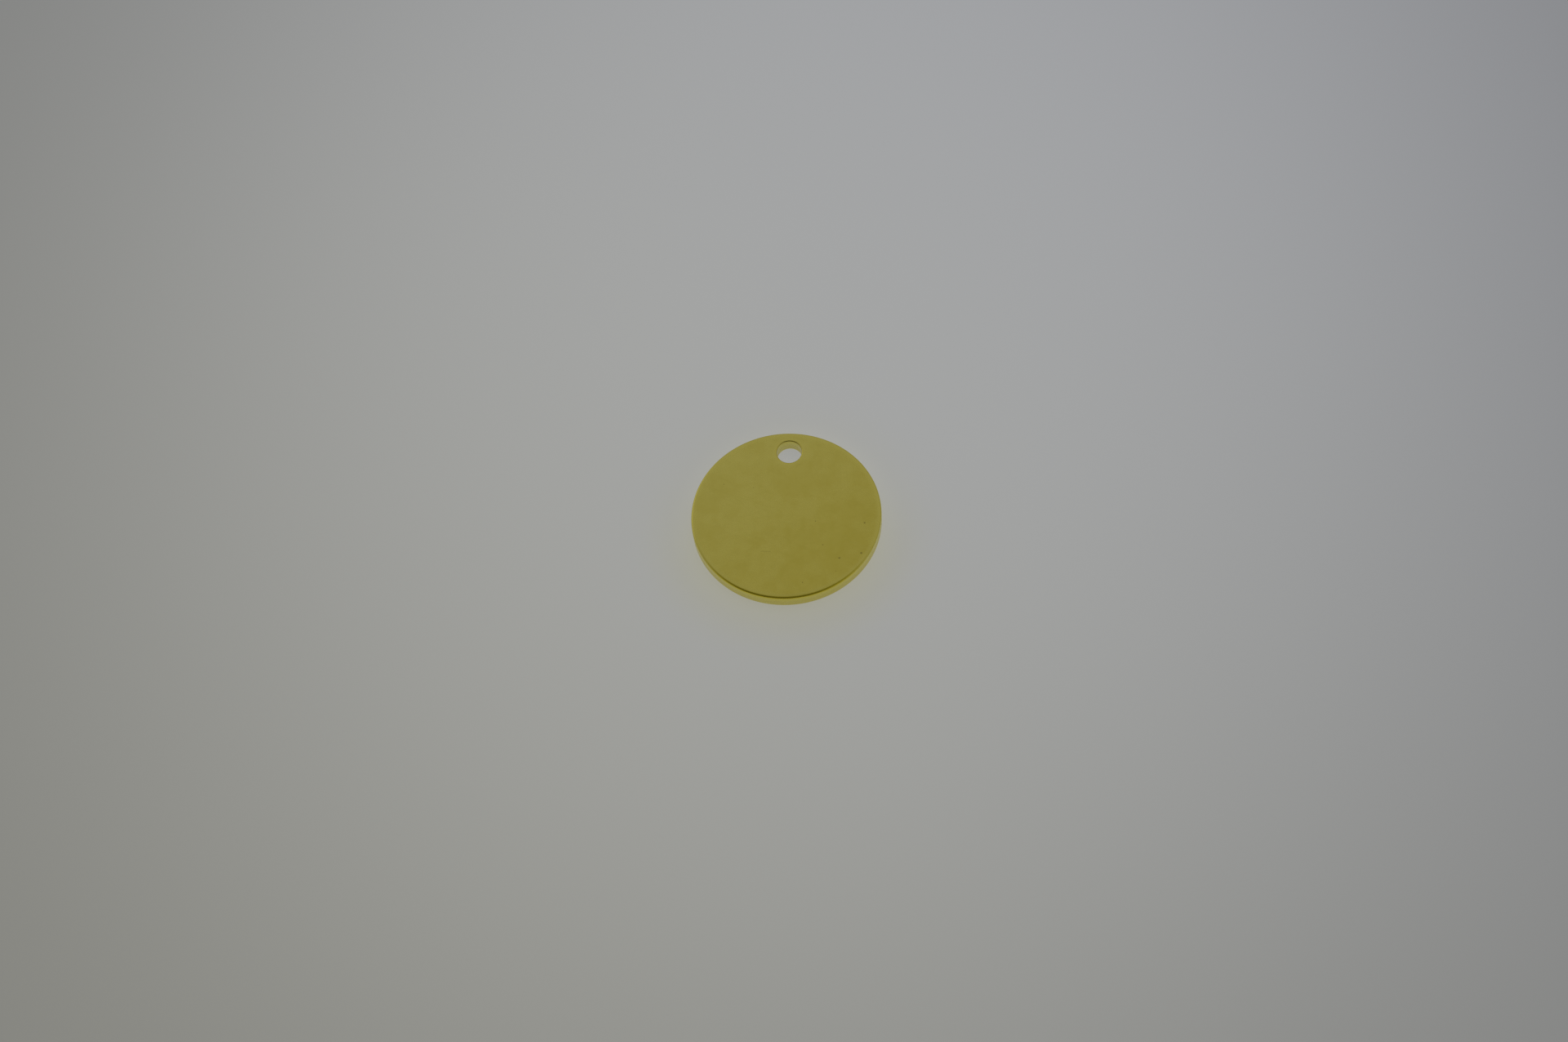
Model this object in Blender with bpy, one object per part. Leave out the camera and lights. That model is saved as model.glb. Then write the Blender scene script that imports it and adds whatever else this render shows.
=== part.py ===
"""A golf ball marker: one flat brass disc, blanked from sheet, with a small hole near its edge.

The part is in metres with +Z up. Its origin is the centre of the underside, and the hole lies
on +Y. Every edge is rounded, as tumbling the blank with its hole already pierced leaves it.
"""

from math import hypot, radians

import bmesh
import bpy
from mathutils import Matrix

# Driving dimensions
DISC_DIAMETER = 0.0250
DISC_THICKNESS = 0.0020
DISC_EDGE_RADIUS = 0.00025
HOLE_DIAMETER = 0.0033
HOLE_MARGIN = 0.0013  # the metal between the hole and the disc's edge
HOLE_RIM_RADIUS = 0.00015

# How finely the round shapes are faceted
DISC_SIDES = 96
HOLE_SIDES = 40
ROUND_SEGMENTS = 3

# What follows from the driving dimensions
DISC_RADIUS = DISC_DIAMETER / 2
HOLE_RADIUS = HOLE_DIAMETER / 2
HOLE_CENTRE_Y = DISC_RADIUS - HOLE_MARGIN - HOLE_RADIUS

SQUARE_EDGE_ANGLE = radians(60)  # only an edge between a flat face and a wall is sharper
SMOOTH_SHADING_ANGLE = radians(40)

BRASS_COLOUR = (0.78, 0.65, 0.17, 1.0)
BRASS_ROUGHNESS = 0.3


def clear_scene():
    for leftover in list(bpy.data.objects):
        bpy.data.objects.remove(leftover, do_unlink=True)


def brass():
    """Polished yellow brass."""
    material = bpy.data.materials.new("brass")
    material.use_nodes = True
    shader = material.node_tree.nodes["Principled BSDF"]
    shader.inputs["Base Color"].default_value = BRASS_COLOUR
    shader.inputs["Metallic"].default_value = 1.0
    shader.inputs["Roughness"].default_value = BRASS_ROUGHNESS
    material.diffuse_color = BRASS_COLOUR
    return material


def blank_outline(bm):
    """The flat blank: the disc's circle, joined by faces to the hole's circle."""
    hole_place = Matrix.Translation((0, HOLE_CENTRE_Y, 0))
    bmesh.ops.create_circle(bm, segments=DISC_SIDES, radius=DISC_RADIUS)
    bmesh.ops.create_circle(bm, segments=HOLE_SIDES, radius=HOLE_RADIUS, matrix=hole_place)
    bmesh.ops.bridge_loops(bm, edges=list(bm.edges))


def thicken(bm):
    """Gives the blank its thickness, upwards from the underside."""
    grown = bmesh.ops.extrude_face_region(bm, geom=list(bm.faces))
    top = [item for item in grown["geom"] if isinstance(item, bmesh.types.BMVert)]
    bmesh.ops.translate(bm, verts=top, vec=(0, 0, DISC_THICKNESS))
    bmesh.ops.recalc_face_normals(bm, faces=list(bm.faces))


def on_hole_wall(vertex):
    """Whether a vertex is nearer to the hole's wall than to the disc's."""
    from_hole_wall = hypot(vertex.co.x, vertex.co.y - HOLE_CENTRE_Y) - HOLE_RADIUS
    from_disc_wall = DISC_RADIUS - hypot(vertex.co.x, vertex.co.y)
    return from_hole_wall < from_disc_wall


def round_rims(bm, at_hole, radius):
    """Rounds the upper and lower rim of the hole, or of the disc, between wall and face."""
    square = [edge for edge in bm.edges if edge.calc_face_angle() > SQUARE_EDGE_ANGLE]
    rims = [edge for edge in square if on_hole_wall(edge.verts[0]) == at_hole]
    bmesh.ops.bevel(
        bm,
        geom=rims,
        offset=radius,
        affect="EDGES",
        segments=ROUND_SEGMENTS,
        profile=0.5,
        material=-1,
    )


def marker_disc():
    """The whole marker: a pierced disc with rounded edges."""
    bm = bmesh.new()
    blank_outline(bm)
    thicken(bm)
    round_rims(bm, at_hole=False, radius=DISC_EDGE_RADIUS)
    round_rims(bm, at_hole=True, radius=HOLE_RIM_RADIUS)
    mesh = bpy.data.meshes.new("marker_disc")
    bm.to_mesh(mesh)
    bm.free()
    mesh.materials.append(brass())
    mesh.shade_smooth()
    mesh.set_sharp_from_angle(angle=SMOOTH_SHADING_ANGLE)
    disc = bpy.data.objects.new("marker_disc", mesh)
    bpy.context.scene.collection.objects.link(disc)
    return disc


clear_scene()
marker_disc()
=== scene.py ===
"""A golf ball marker: one flat brass disc, pierced near its edge, lying on a pale glowing table.

Places are in metres with +Z up, and the materials work in millimetres. The origin is the
centre of the disc's underside, and the hole lies on +Y. The sections follow the work: the
disc, its brass, the table, the light round it, and the camera.
"""

from math import atan2, cos, hypot, radians, sin

import bmesh
import bpy
from mathutils import Matrix, Vector, noise


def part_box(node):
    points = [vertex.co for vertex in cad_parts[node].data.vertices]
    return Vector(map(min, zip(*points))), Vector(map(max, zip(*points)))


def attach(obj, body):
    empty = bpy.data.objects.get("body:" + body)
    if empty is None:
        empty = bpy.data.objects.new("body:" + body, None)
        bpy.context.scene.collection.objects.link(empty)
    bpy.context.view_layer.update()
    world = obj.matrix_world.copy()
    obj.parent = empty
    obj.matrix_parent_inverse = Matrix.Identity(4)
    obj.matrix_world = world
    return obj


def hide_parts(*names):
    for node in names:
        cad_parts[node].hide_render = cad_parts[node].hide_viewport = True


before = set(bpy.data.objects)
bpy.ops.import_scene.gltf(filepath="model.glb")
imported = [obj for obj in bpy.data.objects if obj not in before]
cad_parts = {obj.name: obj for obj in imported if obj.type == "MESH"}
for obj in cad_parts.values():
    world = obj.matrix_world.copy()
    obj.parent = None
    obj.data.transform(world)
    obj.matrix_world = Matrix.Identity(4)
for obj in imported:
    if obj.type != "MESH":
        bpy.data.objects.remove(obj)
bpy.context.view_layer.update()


# The disc. It is blanked from 2 mm brass sheet with one stroke of a punch, and its hole is
# pierced with another. The punch draws the sheet down a little round each edge, and tumbling
# then rounds every edge, the upper ones more than the lower ones.

MM = 0.001
disc_low, disc_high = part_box("marker_disc")
DISC_RADIUS = (disc_high.x - disc_low.x) / 2
DISC_THICKNESS = disc_high.z - disc_low.z
HOLE_RADIUS = 1.65 * MM
HOLE_MARGIN = 1.3 * MM  # the metal between the hole and the disc's edge
HOLE_CENTRE_Y = DISC_RADIUS - HOLE_MARGIN - HOLE_RADIUS

# The wall: a burnished band above, and below it the torn part, which tapers into the metal.
BURNISHED_SHARE = 0.42
TEAR_HEIGHT = DISC_THICKNESS * (1 - BURNISHED_SHARE)
TEAR_TAPER = 0.012 * MM

# How finely a cut edge is made, from the rolled top down to the rounded lower corner.
ROLL_ROWS = 8
UPPER_ROUND_ROWS = 12
TEAR_ROWS = 9
LOWER_ROUND_ROWS = 8
UPPER_CLEARANCE = 1.1  # the rows beside a round stop at this many times its size
LOWER_CLEARANCE = 1.2
FLAT_STRIP = 0.04 * MM  # the width of the flat ring that closes each border
LEVEL = 1e-7  # points that differ less than this in height are level


def edge_section(bm, wall_at, metal_side, border, roll_drop, upper_round, lower_round):
    """The outline of a cut edge in the plane x = 0, as a row of joined vertices.

    It runs from the flat top over the wall to the flat underside. metal_side is -1 where the
    metal lies inside the wall and +1 where it lies outside. The top curves down by roll_drop
    over the border, ever more steeply.
    """
    upper_corner = (0, DISC_THICKNESS - roll_drop)
    lower_corner = (TEAR_TAPER, 0)
    outline = [(border + FLAT_STRIP, DISC_THICKNESS)]
    roll_end = upper_round * UPPER_CLEARANCE
    for row_number in range(ROLL_ROWS):
        inside = border + (roll_end - border) * (row_number / ROLL_ROWS)
        outline.append((inside, DISC_THICKNESS - roll_drop * (1 - inside / border) ** 2))
    outline += [upper_corner, (0, TEAR_HEIGHT)]
    tear_end = lower_round * LOWER_CLEARANCE
    for row_number in range(1, TEAR_ROWS):
        share = row_number / TEAR_ROWS
        outline.append((TEAR_TAPER * share, TEAR_HEIGHT + (tear_end - TEAR_HEIGHT) * share))
    outline += [lower_corner, (border, 0), (border + FLAT_STRIP, 0)]

    row = [bm.verts.new((0, wall_at + metal_side * depth, height)) for depth, height in outline]
    for first, second in zip(row, row[1:]):
        bm.edges.new((first, second))
    rounds = (
        (upper_corner, upper_round, UPPER_ROUND_ROWS),
        (lower_corner, lower_round, LOWER_ROUND_ROWS),
    )
    for corner, size, segments in rounds:
        bmesh.ops.bevel(
            bm,
            geom=[row[outline.index(corner)]],
            offset=size,
            affect="VERTICES",
            segments=segments,
            profile=0.5,
            material=-1,
        )


def ring_mesh(centre_y, radius, metal_side, steps, **edge_sizes):
    """A cut edge all the way round: the wall of that radius, with its borders above and below."""
    bm = bmesh.new()
    edge_section(bm, centre_y + radius, metal_side, **edge_sizes)
    bmesh.ops.spin(
        bm,
        geom=list(bm.verts) + list(bm.edges),
        cent=(0, centre_y, 0),
        axis=(0, 0, 1),
        angle=radians(360),
        steps=steps,
        use_merge=True,
        use_duplicate=False,
    )
    mesh = bpy.data.meshes.new("ring")
    bm.to_mesh(mesh)
    bm.free()
    return mesh


def rim_mesh():
    """The disc's outer border with its wall."""
    return ring_mesh(
        centre_y=0,
        radius=DISC_RADIUS,
        metal_side=-1,
        steps=720,
        border=0.82 * MM,
        roll_drop=0.046 * MM,
        upper_round=0.24 * MM,
        lower_round=0.16 * MM,
    )


def hole_mesh():
    """The hole's border with its wall."""
    return ring_mesh(
        centre_y=HOLE_CENTRE_Y,
        radius=HOLE_RADIUS,
        metal_side=1,
        steps=180,
        border=0.34 * MM,
        roll_drop=0.016 * MM,
        upper_round=0.13 * MM,
        lower_round=0.10 * MM,
    )


# Dents along the upper outer edge: how far in they reach, how wide and how deep they are. A
# worn punch has left a part of that edge ragged, which is given as angles from -Y towards +X.
DENT_REACH = 0.5 * MM
COARSE_DENT_WIDTH = 1.7 * MM
FINE_DENT_WIDTH = 0.35 * MM
COARSE_DENT = 0.0015 * MM
FINE_DENT = 0.0010 * MM
RAGGED_DENT = 0.0095 * MM  # a fine dent where the edge is ragged
RAGGED_FROM = radians(4)
RAGGED_TO = radians(36)


def roughen_upper_edge(bm):
    """Gives the upper outer edge the small dents that tumbling leaves, and its ragged part."""
    for vertex in bm.verts:
        place = vertex.co
        below = DISC_THICKNESS - place.z
        from_axis = hypot(place.x, place.y)
        inside = DISC_RADIUS - from_axis
        if not (0 < below < DENT_REACH and 0 < inside < DENT_REACH):
            continue
        nearness = 1 - max(below, inside) / DENT_REACH
        ragged = RAGGED_FROM < atan2(place.x, -place.y) < RAGGED_TO
        fine_dent = RAGGED_DENT if ragged else FINE_DENT
        fine = noise.noise(place / FINE_DENT_WIDTH) + 1
        coarse = noise.noise(place / COARSE_DENT_WIDTH) + 1
        depth = COARSE_DENT * coarse + fine_dent * fine
        inwards = Vector((-place.x / from_axis, -place.y / from_axis, -1)).normalized()
        vertex.co = place + inwards * depth * nearness


# Tears in the walls, below an edge that wanders up and down: how wide and how deep they are.
# They are drawn out upright, by reading the height at a share of what it is.
NEAR_WALL = 0.06 * MM
TEAR_FOOT = 0.1 * MM
TEAR_HEADROOM = 0.2 * MM
TEAR_EDGE_WAVE = 0.9 * MM
TEAR_EDGE_WANDER = 0.16 * MM
TEAR_EDGE_FADE = 0.18 * MM
COARSE_TEAR_WIDTH = 0.55 * MM
FINE_TEAR_WIDTH = 0.23 * MM
COARSE_TEAR = 0.0042 * MM
FINE_TEAR = 0.0030 * MM
UPRIGHT_SHARE = 0.22


def tear_walls(bm):
    """Makes the lower part of both walls uneven, where the punch tore the sheet and didn't cut it.

    Each point moves only into the metal.
    """
    hole_axis = Vector((0, HOLE_CENTRE_Y, 0))
    for vertex in bm.verts:
        place = vertex.co
        if not TEAR_FOOT < place.z < TEAR_HEIGHT + TEAR_HEADROOM:
            continue
        outer = Vector((place.x, place.y, 0))
        in_hole = outer - hole_axis
        if DISC_RADIUS - outer.length < NEAR_WALL:
            into_metal = -outer.normalized()
        elif in_hole.length - HOLE_RADIUS < NEAR_WALL:
            into_metal = in_hole.normalized()
        else:
            continue
        wander = noise.noise(outer / TEAR_EDGE_WAVE) * TEAR_EDGE_WANDER
        edge_of_tear = TEAR_HEIGHT + wander
        torn = min(1, max(0, (edge_of_tear - place.z) / TEAR_EDGE_FADE))
        drawn_out = Vector((place.x, place.y, place.z * UPRIGHT_SHARE))
        coarse = noise.noise(drawn_out / COARSE_TEAR_WIDTH) + 1
        fine = noise.noise(drawn_out / FINE_TEAR_WIDTH) + 1
        vertex.co = place + into_metal * torn * (COARSE_TEAR * coarse + FINE_TEAR * fine)


def disc_mesh():
    """The whole marker: the two rings, joined by the flat top and the flat underside."""
    bm = bmesh.new()
    for ring in (rim_mesh(), hole_mesh()):
        bm.from_mesh(ring)
        bpy.data.meshes.remove(ring)
    for height in (DISC_THICKNESS, 0):
        open_edges = [edge for edge in bm.edges if edge.is_boundary]
        level = [e for e in open_edges if all(abs(v.co.z - height) < LEVEL for v in e.verts)]
        bmesh.ops.triangle_fill(bm, edges=level, use_beauty=True, use_dissolve=False)
    bmesh.ops.recalc_face_normals(bm, faces=list(bm.faces))
    roughen_upper_edge(bm)
    tear_walls(bm)
    mesh = bpy.data.meshes.new("marker")
    bm.to_mesh(mesh)
    bm.free()
    mesh.shade_smooth()
    return mesh


marker = bpy.data.objects.new("marker", disc_mesh())
bpy.context.scene.collection.objects.link(marker)
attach(marker, "root")
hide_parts("marker_disc")


# The brass. It is plain yellow brass, tumbled to a soft polish and since dulled in faint
# clouds, with a few hairlines and specks. Its face is also painted darker towards the front
# right, a painted shade. Its edges have worn brighter, and its rounded edges turn a deeper gold,
# most of all in front, opposite the hole. Its cut walls keep the punch's marks.


class Wire:
    """The output of a node, or a bare node tree. Sums and products on it add Math nodes."""

    def __init__(self, tree, output=None):
        self.tree = tree
        self.output = output

    def node(self, kind, settings, sockets, output=0):
        """Adds a node of any kind, with its settings first and then its sockets' values."""
        made = self.tree.nodes.new("ShaderNode" + kind)
        for name, value in settings.items():
            setattr(made, name, value)
        for name, value in sockets.items():
            if isinstance(value, Wire):
                self.tree.links.new(value.output, made.inputs[name])
            else:
                made.inputs[name].default_value = value
        return Wire(self.tree, made.outputs[output])

    def math(self, operation, *values):
        return self.node("Math", {"operation": operation}, dict(enumerate(values)))

    def __add__(self, other):
        return self.math("ADD", self, other)

    def __radd__(self, other):
        return self.math("ADD", other, self)

    def __sub__(self, other):
        return self.math("SUBTRACT", self, other)

    def __rsub__(self, other):
        return self.math("SUBTRACT", other, self)

    def __mul__(self, other):
        return self.math("MULTIPLY", self, other)

    def __rmul__(self, other):
        return self.math("MULTIPLY", other, self)

    def __truediv__(self, other):
        return self.math("DIVIDE", self, other)

    def __pow__(self, power):
        return self.math("POWER", self, power)

    def size(self):
        return self.math("ABSOLUTE", self)

    def exponential(self):
        return self.math("EXPONENT", self)

    def reach(self, other):
        """The length of a vector with these two parts."""
        return (self * self + other * other) ** 0.5

    def lean(self, upright):
        """The angle from upright of a vector with these two parts."""
        return self.math("ARCTAN2", self, upright)

    def lesser(self, other):
        return self.math("MINIMUM", self, other)

    def greater(self, other):
        return self.math("MAXIMUM", self, other)

    def between(self, start, end):
        """A smooth step from 0 at start to 1 at end, where start may be the larger."""
        settings = {"interpolation_type": "SMOOTHSTEP"}
        sockets = {"Value": self, "From Min": start, "From Max": end}
        return self.node("MapRange", settings, sockets)

    def tint(self, none, full):
        """A colour from none to full, by this value."""
        settings = {"data_type": "RGBA"}
        return self.node("Mix", settings, {0: self, 6: none, 7: full}, output=2)

    def scaled(self, factor):
        """This colour or vector, times a number."""
        return self.node("VectorMath", {"operation": "SCALE"}, {0: self, "Scale": factor})

    def along(self, way):
        """How far this vector reaches along a way."""
        settings = {"operation": "DOT_PRODUCT"}
        return self.node("VectorMath", settings, {0: self, 1: way}, "Value")

    def part(self, axis):
        """The X, Y or Z of this vector."""
        return self.node("SeparateXYZ", {}, {"Vector": self}, axis)

    def grain(self, size, detail=2.0, roughness=0.5, stretch=(1, 1, 1), turn=(0, 0, 0)):
        """Noise on this position, with features of about that size, drawn out by stretch."""
        scale = tuple(1 / (size * share) for share in stretch)
        sockets = {"Vector": self, "Rotation": turn}
        turned_place = self.node("Mapping", {"vector_type": "POINT"}, sockets)
        sockets = {"Vector": turned_place, "Scale": scale}
        squeezed = self.node("Mapping", {"vector_type": "POINT"}, sockets)
        sockets = {"Vector": squeezed, "Scale": 1.0, "Detail": detail, "Roughness": roughness}
        return self.node("TexNoise", {}, sockets)


def place_in_mm(tree):
    """A point's place on its object, in millimetres."""
    return Wire(tree).node("TexCoord", {}, {}, "Object").scaled(1 / MM)


def outside_hole(x, y):
    """How far a point is from the hole's wall, outwards from the hole's axis."""
    return x.reach(y - HOLE_CENTRE_Y / MM) - HOLE_RADIUS / MM


CLEAN_BRASS = (0.802, 0.706, 0.163, 1.0)
DULL_AND_SHADED_BRASS = (0.728, 0.616, 0.101, 1.0)
DEEP_EDGE_GOLD = (0.815, 0.665, 0.045, 1.0)
CUT_BRASS = (0.810, 0.730, 0.190, 1.0)
TORN_BRASS = (0.805, 0.740, 0.270, 1.0)
SPECK_BROWN = (0.300, 0.235, 0.070, 1.0)
PAINTED_SHADE_WAY = (0.62, -0.78, 0.0)  # the way in which the face is painted darker, a painted shade

# Dark specks on the top face, and one short nick: x, y, half the length and size, in millimetres.
SPECKS = (
    (10.32, -1.18, 0.00, 0.22),
    (10.03, -5.71, 0.00, 0.26),
    (7.18, -6.47, 0.05, 0.20),
    (6.82, -8.42, 0.00, 0.13),
    (2.54, -10.15, 0.00, 0.12),
    (4.98, -4.54, 0.00, 0.12),
    (3.89, -1.00, 0.00, 0.10),
    (-4.50, 4.01, 0.00, 0.10),
    (-8.42, 4.48, 0.00, 0.11),
    (-2.45, -5.60, 0.65, 0.03),
)

# Hairlines, in sets that run one way: the turn about the upright axis, the length and width
# of a line in millimetres, and the level above which the noise shows as a line.
HAIRLINES = (
    (0.35, 7.0, 0.060, 0.640),
    (0.80, 3.5, 0.045, 0.660),
    (1.45, 9.0, 0.055, 0.650),
    (2.30, 5.0, 0.070, 0.650),
    (2.95, 6.0, 0.050, 0.640),
)


def specks_and_nick(x, y, raggedness):
    """Where a speck or the nick lies, whatever the height."""
    specks = None
    for speck_x, speck_y, half_length, size in SPECKS:
        aside = ((x - speck_x).size() - half_length).greater(0.0)
        distance = aside.reach(y - speck_y) + raggedness * size * 0.4
        spot = distance.between(size, size * 0.35)
        specks = spot if specks is None else specks.greater(spot)
    return specks


def hairlines_at(place):
    """Where a hairline runs."""
    hairlines = None
    for turn, length, width, level in HAIRLINES:
        lines = place.grain(width, detail=0.0, stretch=(length / width, 1, 4), turn=(0, 0, turn))
        line = lines.between(level, level + 0.12)
        hairlines = line if hairlines is None else hairlines.greater(line)
    return hairlines


def brass():
    """Tumble-polished yellow brass, a little dulled and scratched, with a painted shade across its
    face. Sizes are in millimetres.
    """
    material = bpy.data.materials.new("brass")
    material.use_nodes = True
    tree = material.node_tree
    shader = tree.nodes["Principled BSDF"]

    # How far a point is from the walls and from the top, and so what part of the disc it is on
    place = place_in_mm(tree)
    x, y, z = place.part("X"), place.part("Y"), place.part("Z")
    from_axis = x.reach(y)
    from_rim = DISC_RADIUS / MM - from_axis
    into_metal = from_rim.lesser(outside_hole(x, y))
    below_top = DISC_THICKNESS / MM - z
    to_edge = into_metal + below_top.lesser(z)

    wall = into_metal.between(0.14, 0.03) * to_edge.between(0.10, 0.22)
    torn = wall * below_top.between(0.75, 1.0)
    worn_edge = to_edge.between(0.9, 0.1) * (1 - wall)
    rounded = into_metal.between(0.34, 0.16) * below_top.between(0.34, 0.18)
    # A deeper gold on the rounded edges, most of all in front, opposite the hole.
    front_edge_gold = rounded * (0.15 + (y / from_axis).between(-0.45, -0.90) * 0.85)
    face = 1 - worn_edge.greater(wall)

    # What time and the tools have left on it, and a painted shade across the face
    clouds = place.grain(5.0, detail=3.0, roughness=0.55).between(0.36, 0.66)
    blotches = place.grain(1.3, detail=3.0, roughness=0.6).between(0.35, 0.70)
    # A painted shade: the face is made darker towards the front right, mixed into the tarnish.
    painted_shade_across_face = place.along(PAINTED_SHADE_WAY).between(-13.0, 13.0)
    tarnish_and_shade = (clouds * 0.25 + blotches * 0.15 + painted_shade_across_face * 0.60) * (1 - worn_edge * 0.5)
    speck = specks_and_nick(x, y, blotches) * below_top.between(0.1, 0.0)
    hairline = hairlines_at(place) * face
    upright = place.grain(0.07, detail=2.0, roughness=0.6, stretch=(1, 1, 12)).between(0.3, 0.7)
    grit = place.grain(0.09, detail=4.0, roughness=0.7, stretch=(1, 1, 2.5)).between(0.3, 0.7)

    colour = tarnish_and_shade.tint(CLEAN_BRASS, DULL_AND_SHADED_BRASS)
    colour = wall.tint(colour, torn.tint(CUT_BRASS, TORN_BRASS))
    colour = (wall * upright * 0.25 + torn * grit * 0.55).tint(colour, DULL_AND_SHADED_BRASS)
    colour = (speck * 0.5).tint(colour, SPECK_BROWN)
    colour = (worn_edge * 0.3).tint(colour, CLEAN_BRASS)
    colour = front_edge_gold.tint(colour, DEEP_EDGE_GOLD)
    tree.links.new(colour.output, shader.inputs["Base Color"])

    roughness = 0.25 + clouds * 0.03 + blotches * 0.03 + hairline * 0.08 + speck * 0.25
    roughness = roughness + torn * (0.04 + grit * 0.12) - worn_edge * 0.03
    tree.links.new(roughness.output, shader.inputs["Roughness"])
    shader.inputs["Metallic"].default_value = 1.0

    # Heights, in thousandths of a millimetre
    rolled = place.grain(0.10, detail=2.0, stretch=(1, 30, 1)) * 0.15
    pebbled = place.grain(1.1, detail=2.0, roughness=0.4) * 0.9
    cut_marks = upright * wall * 1.4 + grit * torn * 3.0
    height = rolled * face + pebbled + cut_marks - hairline * 0.9 - speck * 3.0
    bump = {"Height": height, "Strength": 1.0, "Distance": 0.001 * MM}
    normal = place.node("Bump", {}, bump)
    tree.links.new(normal.output, shader.inputs["Normal"])
    return material


marker.data.materials.append(brass())


# The table. It is a broad sheet of matt opal acrylic, lit softly from below, so that it is
# brightest a little behind the disc and nothing on it casts a shadow. Close to the disc its
# glow is painted a faint gold, a painted reflection of the brass, most of all in front, and
# painted a little brighter, a painted light. Under the disc its glow is dimmed, a painted shadow.

TABLE_RADIUS = 6.0
TABLE_GREY = (0.30, 0.30, 0.30, 1.0)

# The colours of its glow, with the ways and the distances in millimetres over which they turn.
WARM_SIDE = (1.018, 1.010, 0.862, 1.0)
COOL_SIDE = (0.970, 1.000, 1.085, 1.0)
FAR_WHITE = (1.0, 1.0, 1.0, 1.0)
# a painted reflection of the brass, laid on the glow close to the disc
PAINTED_REFLECTION_GOLD = (1.02, 1.01, 0.83, 1.0)
COOLER_WAY = (0.6, 0.8, 0.0)
COOL_FADE = (-190.0, 190.0)
FAR_FADE = (150.0, 420.0)
PAINTED_REFLECTION_FADE = (9.0, 0.0)

# The strength of its glow, with its centre and reach in millimetres.
EVEN_GLOW = 0.141
MIDDLE_GLOW = 0.160
GLOW_CENTRE = (3.0, 40.4)
GLOW_REACH = (106.7, 136.2)
GLOW_FLATNESS = 1.37
PAINTED_SHADOW_SHARE = 0.35  # what is left of the glow under the disc, a painted shadow
PAINTED_SHADOW_FADE = 0.3  # how far in under the disc it falls to that
# Painted light: the glow is made a little brighter close beside the disc.
PAINTED_LIGHT_GAIN = 0.055
PAINTED_LIGHT_FADE = (3.5, 0.0)


def table_mesh():
    """A flat round sheet, its upper side at the disc's underside."""
    bm = bmesh.new()
    bmesh.ops.create_circle(bm, cap_ends=True, cap_tris=True, segments=96, radius=TABLE_RADIUS)
    bmesh.ops.translate(bm, verts=list(bm.verts), vec=(0, 0, disc_low.z))
    mesh = bpy.data.meshes.new("table")
    bm.to_mesh(mesh)
    bm.free()
    return mesh


def opal():
    """Matt opal acrylic that glows, with a painted shadow under the disc and painted light and a
    painted gold reflection beside it.
    """
    material = bpy.data.materials.new("opal")
    material.use_nodes = True
    tree = material.node_tree
    shader = tree.nodes["Principled BSDF"]

    place = place_in_mm(tree)
    x, y = place.part("X"), place.part("Y")
    from_axis = x.reach(y)
    from_wall = from_axis - DISC_RADIUS / MM
    beside_disc = from_wall.between(-PAINTED_SHADOW_FADE, 0.0)
    in_hole = outside_hole(x, y).between(PAINTED_SHADOW_FADE, 0.0)
    in_front = (y / from_axis).between(0.6, -0.8)
    # A painted reflection: gold from the brass on the glow beside the disc, most of all in front.
    painted_reflection = from_wall.between(*PAINTED_REFLECTION_FADE) * beside_disc * (0.25 + in_front * 0.75)

    colour = place.along(COOLER_WAY).between(*COOL_FADE).tint(WARM_SIDE, COOL_SIDE)
    colour = from_axis.between(*FAR_FADE).tint(colour, FAR_WHITE)
    colour = painted_reflection.tint(colour, PAINTED_REFLECTION_GOLD)

    aside = (x - GLOW_CENTRE[0]) / GLOW_REACH[0]
    along = (y - GLOW_CENTRE[1]) / GLOW_REACH[1]
    spread = (aside * aside + along * along) ** GLOW_FLATNESS
    glow = EVEN_GLOW + (spread * -1.0).exponential() * MIDDLE_GLOW
    # A painted shadow: the glow is dimmed under the disc's metal.
    glow = glow * (PAINTED_SHADOW_SHARE + beside_disc.greater(in_hole) * (1 - PAINTED_SHADOW_SHARE))
    # Painted light close beside the disc.
    glow = glow * (1 + from_wall.between(*PAINTED_LIGHT_FADE) * PAINTED_LIGHT_GAIN)

    tree.links.new(colour.scaled(glow).output, shader.inputs["Emission Color"])
    shader.inputs["Emission Strength"].default_value = 1.0
    shader.inputs["Base Color"].default_value = TABLE_GREY
    shader.inputs["Roughness"].default_value = 0.9
    shader.inputs["Specular IOR Level"].default_value = 0.0
    return material


table = bpy.data.objects.new("table", table_mesh())
bpy.context.scene.collection.objects.link(table)
table.data.materials.append(opal())


# The light. A white tent stands round the table: even above and behind, a little darker
# towards the horizon, and dark on the side where the maker leans over it. Light from a
# window comes in low, from behind on the left.

TENT = 0.358
HORIZON = 0.215
HORIZON_FADE = (0.06, 0.60)  # heights on a unit sphere, as the window's sill

# The dark side fades in above and out below between these angles from upright, and aside
# between these distances on a unit sphere.
DARK_SIDE_AZIMUTH = radians(-11)
DARK_SIDE_SHARE = 0.72
DARK_SIDE_TOP = (radians(-29), radians(14))
DARK_SIDE_FOOT = (radians(100), radians(80))
DARK_SIDE_FLANK = (0.95, 0.45)

WINDOW = 0.28
WINDOW_AZIMUTH = radians(232)
WINDOW_ELEVATION = radians(20)
WINDOW_FADE = (cos(radians(26)), cos(radians(8)))
WINDOW_SILL = (0.11, 0.25)


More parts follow.
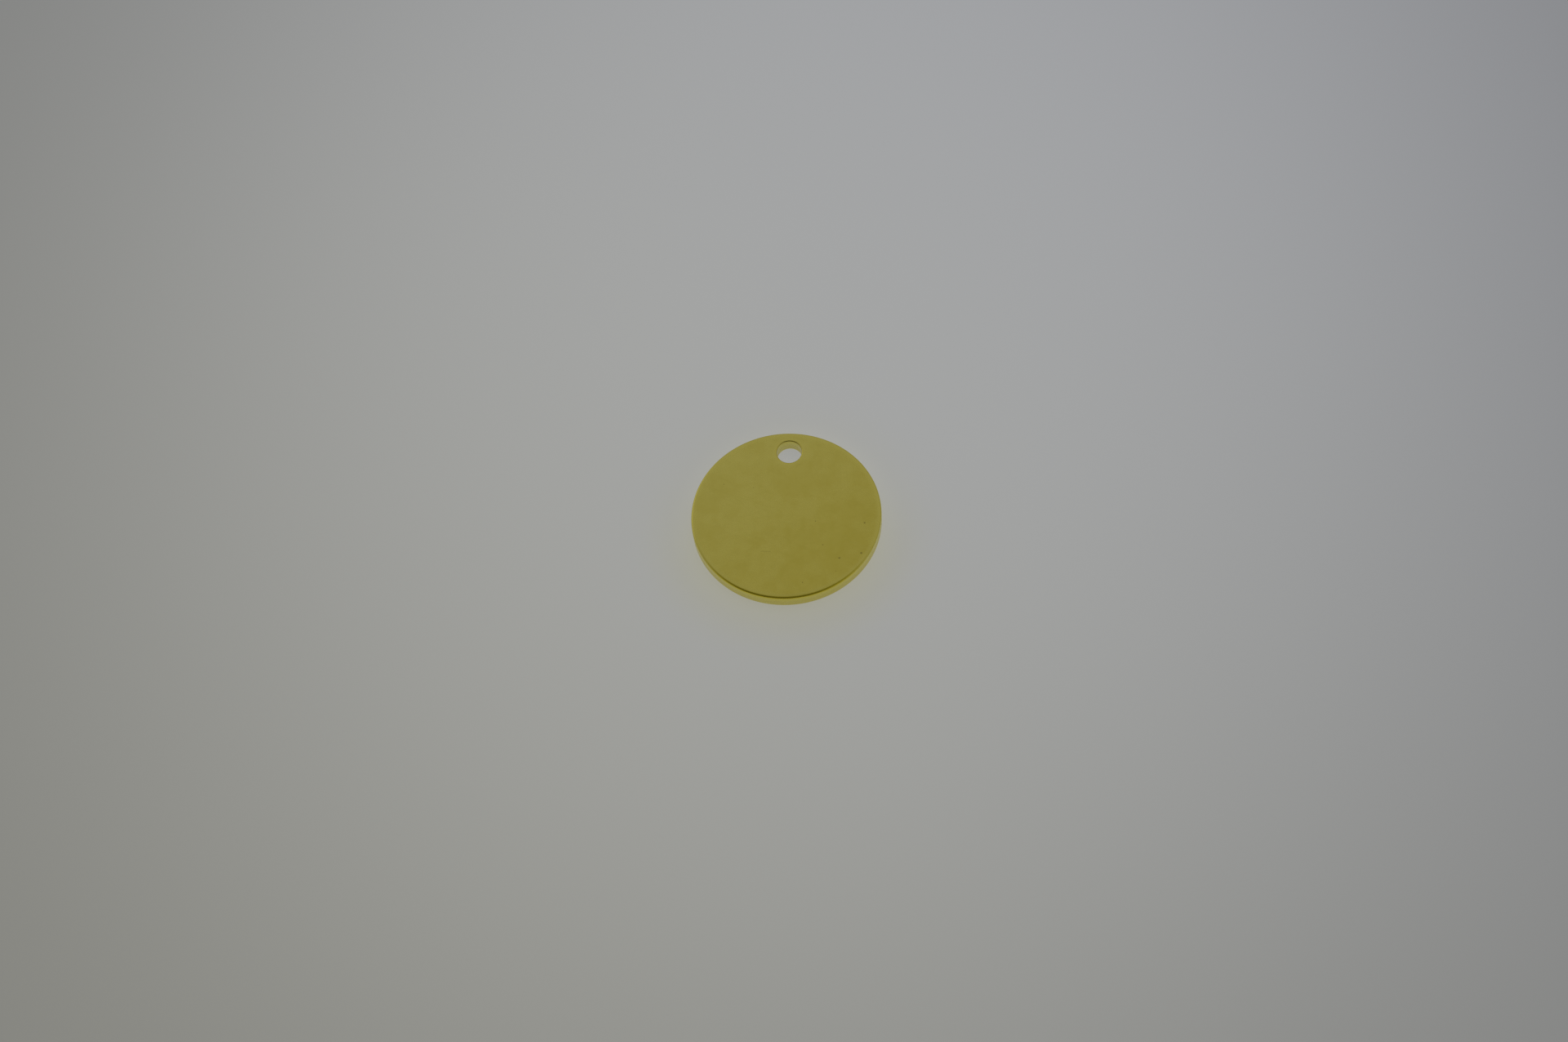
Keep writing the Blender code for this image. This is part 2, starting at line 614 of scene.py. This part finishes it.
def way_towards(azimuth, elevation):
    """The unit vector towards a place round the disc, with azimuth 0 in front of it, at -Y."""
    level = cos(elevation)
    return Vector((sin(azimuth) * level, -cos(azimuth) * level, sin(elevation)))


def tent():
    """The light from all round, as a world."""
    world = bpy.data.worlds.new("tent")
    world.use_nodes = True
    tree = world.node_tree
    way = Wire(tree).node("TexCoord", {}, {}, "Generated")
    up = way.part("Z")
    light = HORIZON + up.between(*HORIZON_FADE) * (TENT - HORIZON)

    lean = way.along(way_towards(DARK_SIDE_AZIMUTH, 0)).lean(up)
    aside = way.along(way_towards(DARK_SIDE_AZIMUTH + radians(90), 0)).size()
    dark = lean.between(*DARK_SIDE_TOP) * lean.between(*DARK_SIDE_FOOT)
    dark = dark * aside.between(*DARK_SIDE_FLANK)
    light = light * (1 - dark * DARK_SIDE_SHARE)

    towards_window = way.along(way_towards(WINDOW_AZIMUTH, WINDOW_ELEVATION))
    light = light + towards_window.between(*WINDOW_FADE) * up.between(*WINDOW_SILL) * WINDOW
    background = tree.nodes["Background"]
    tree.links.new(light.output, background.inputs["Color"])
    background.inputs["Strength"].default_value = 1.0
    return world


bpy.context.scene.world = tent()
bpy.context.scene.view_settings.view_transform = "Standard"


# The camera. It looks down at the disc from the side away from the hole, held a little
# askew, so that the hole is at the back and leans to the right.

CAMERA_AZIMUTH = radians(8.2)
CAMERA_ELEVATION = radians(60.0)
CAMERA_DISTANCE = 415.9 * MM
CAMERA_TURN = radians(-6.65)
CAMERA_OFFSET = Vector((-0.398, 0.110, 0)) * MM  # of the lens from the line to the origin

camera = bpy.data.objects.new("camera", bpy.data.cameras.new("camera"))
camera.data.sensor_width = 36.0
camera.data.lens = 72.56
camera.data.clip_start = 0.01
camera.data.clip_end = 20.0
towards_camera = way_towards(CAMERA_AZIMUTH, CAMERA_ELEVATION)
camera.matrix_world = (
    Matrix.Translation(towards_camera * CAMERA_DISTANCE)
    @ (-towards_camera).to_track_quat("-Z", "Y").to_matrix().to_4x4()
    @ Matrix.Rotation(CAMERA_TURN, 4, "Z")
    @ Matrix.Translation(CAMERA_OFFSET)
)
bpy.context.scene.collection.objects.link(camera)
bpy.context.scene.camera = camera
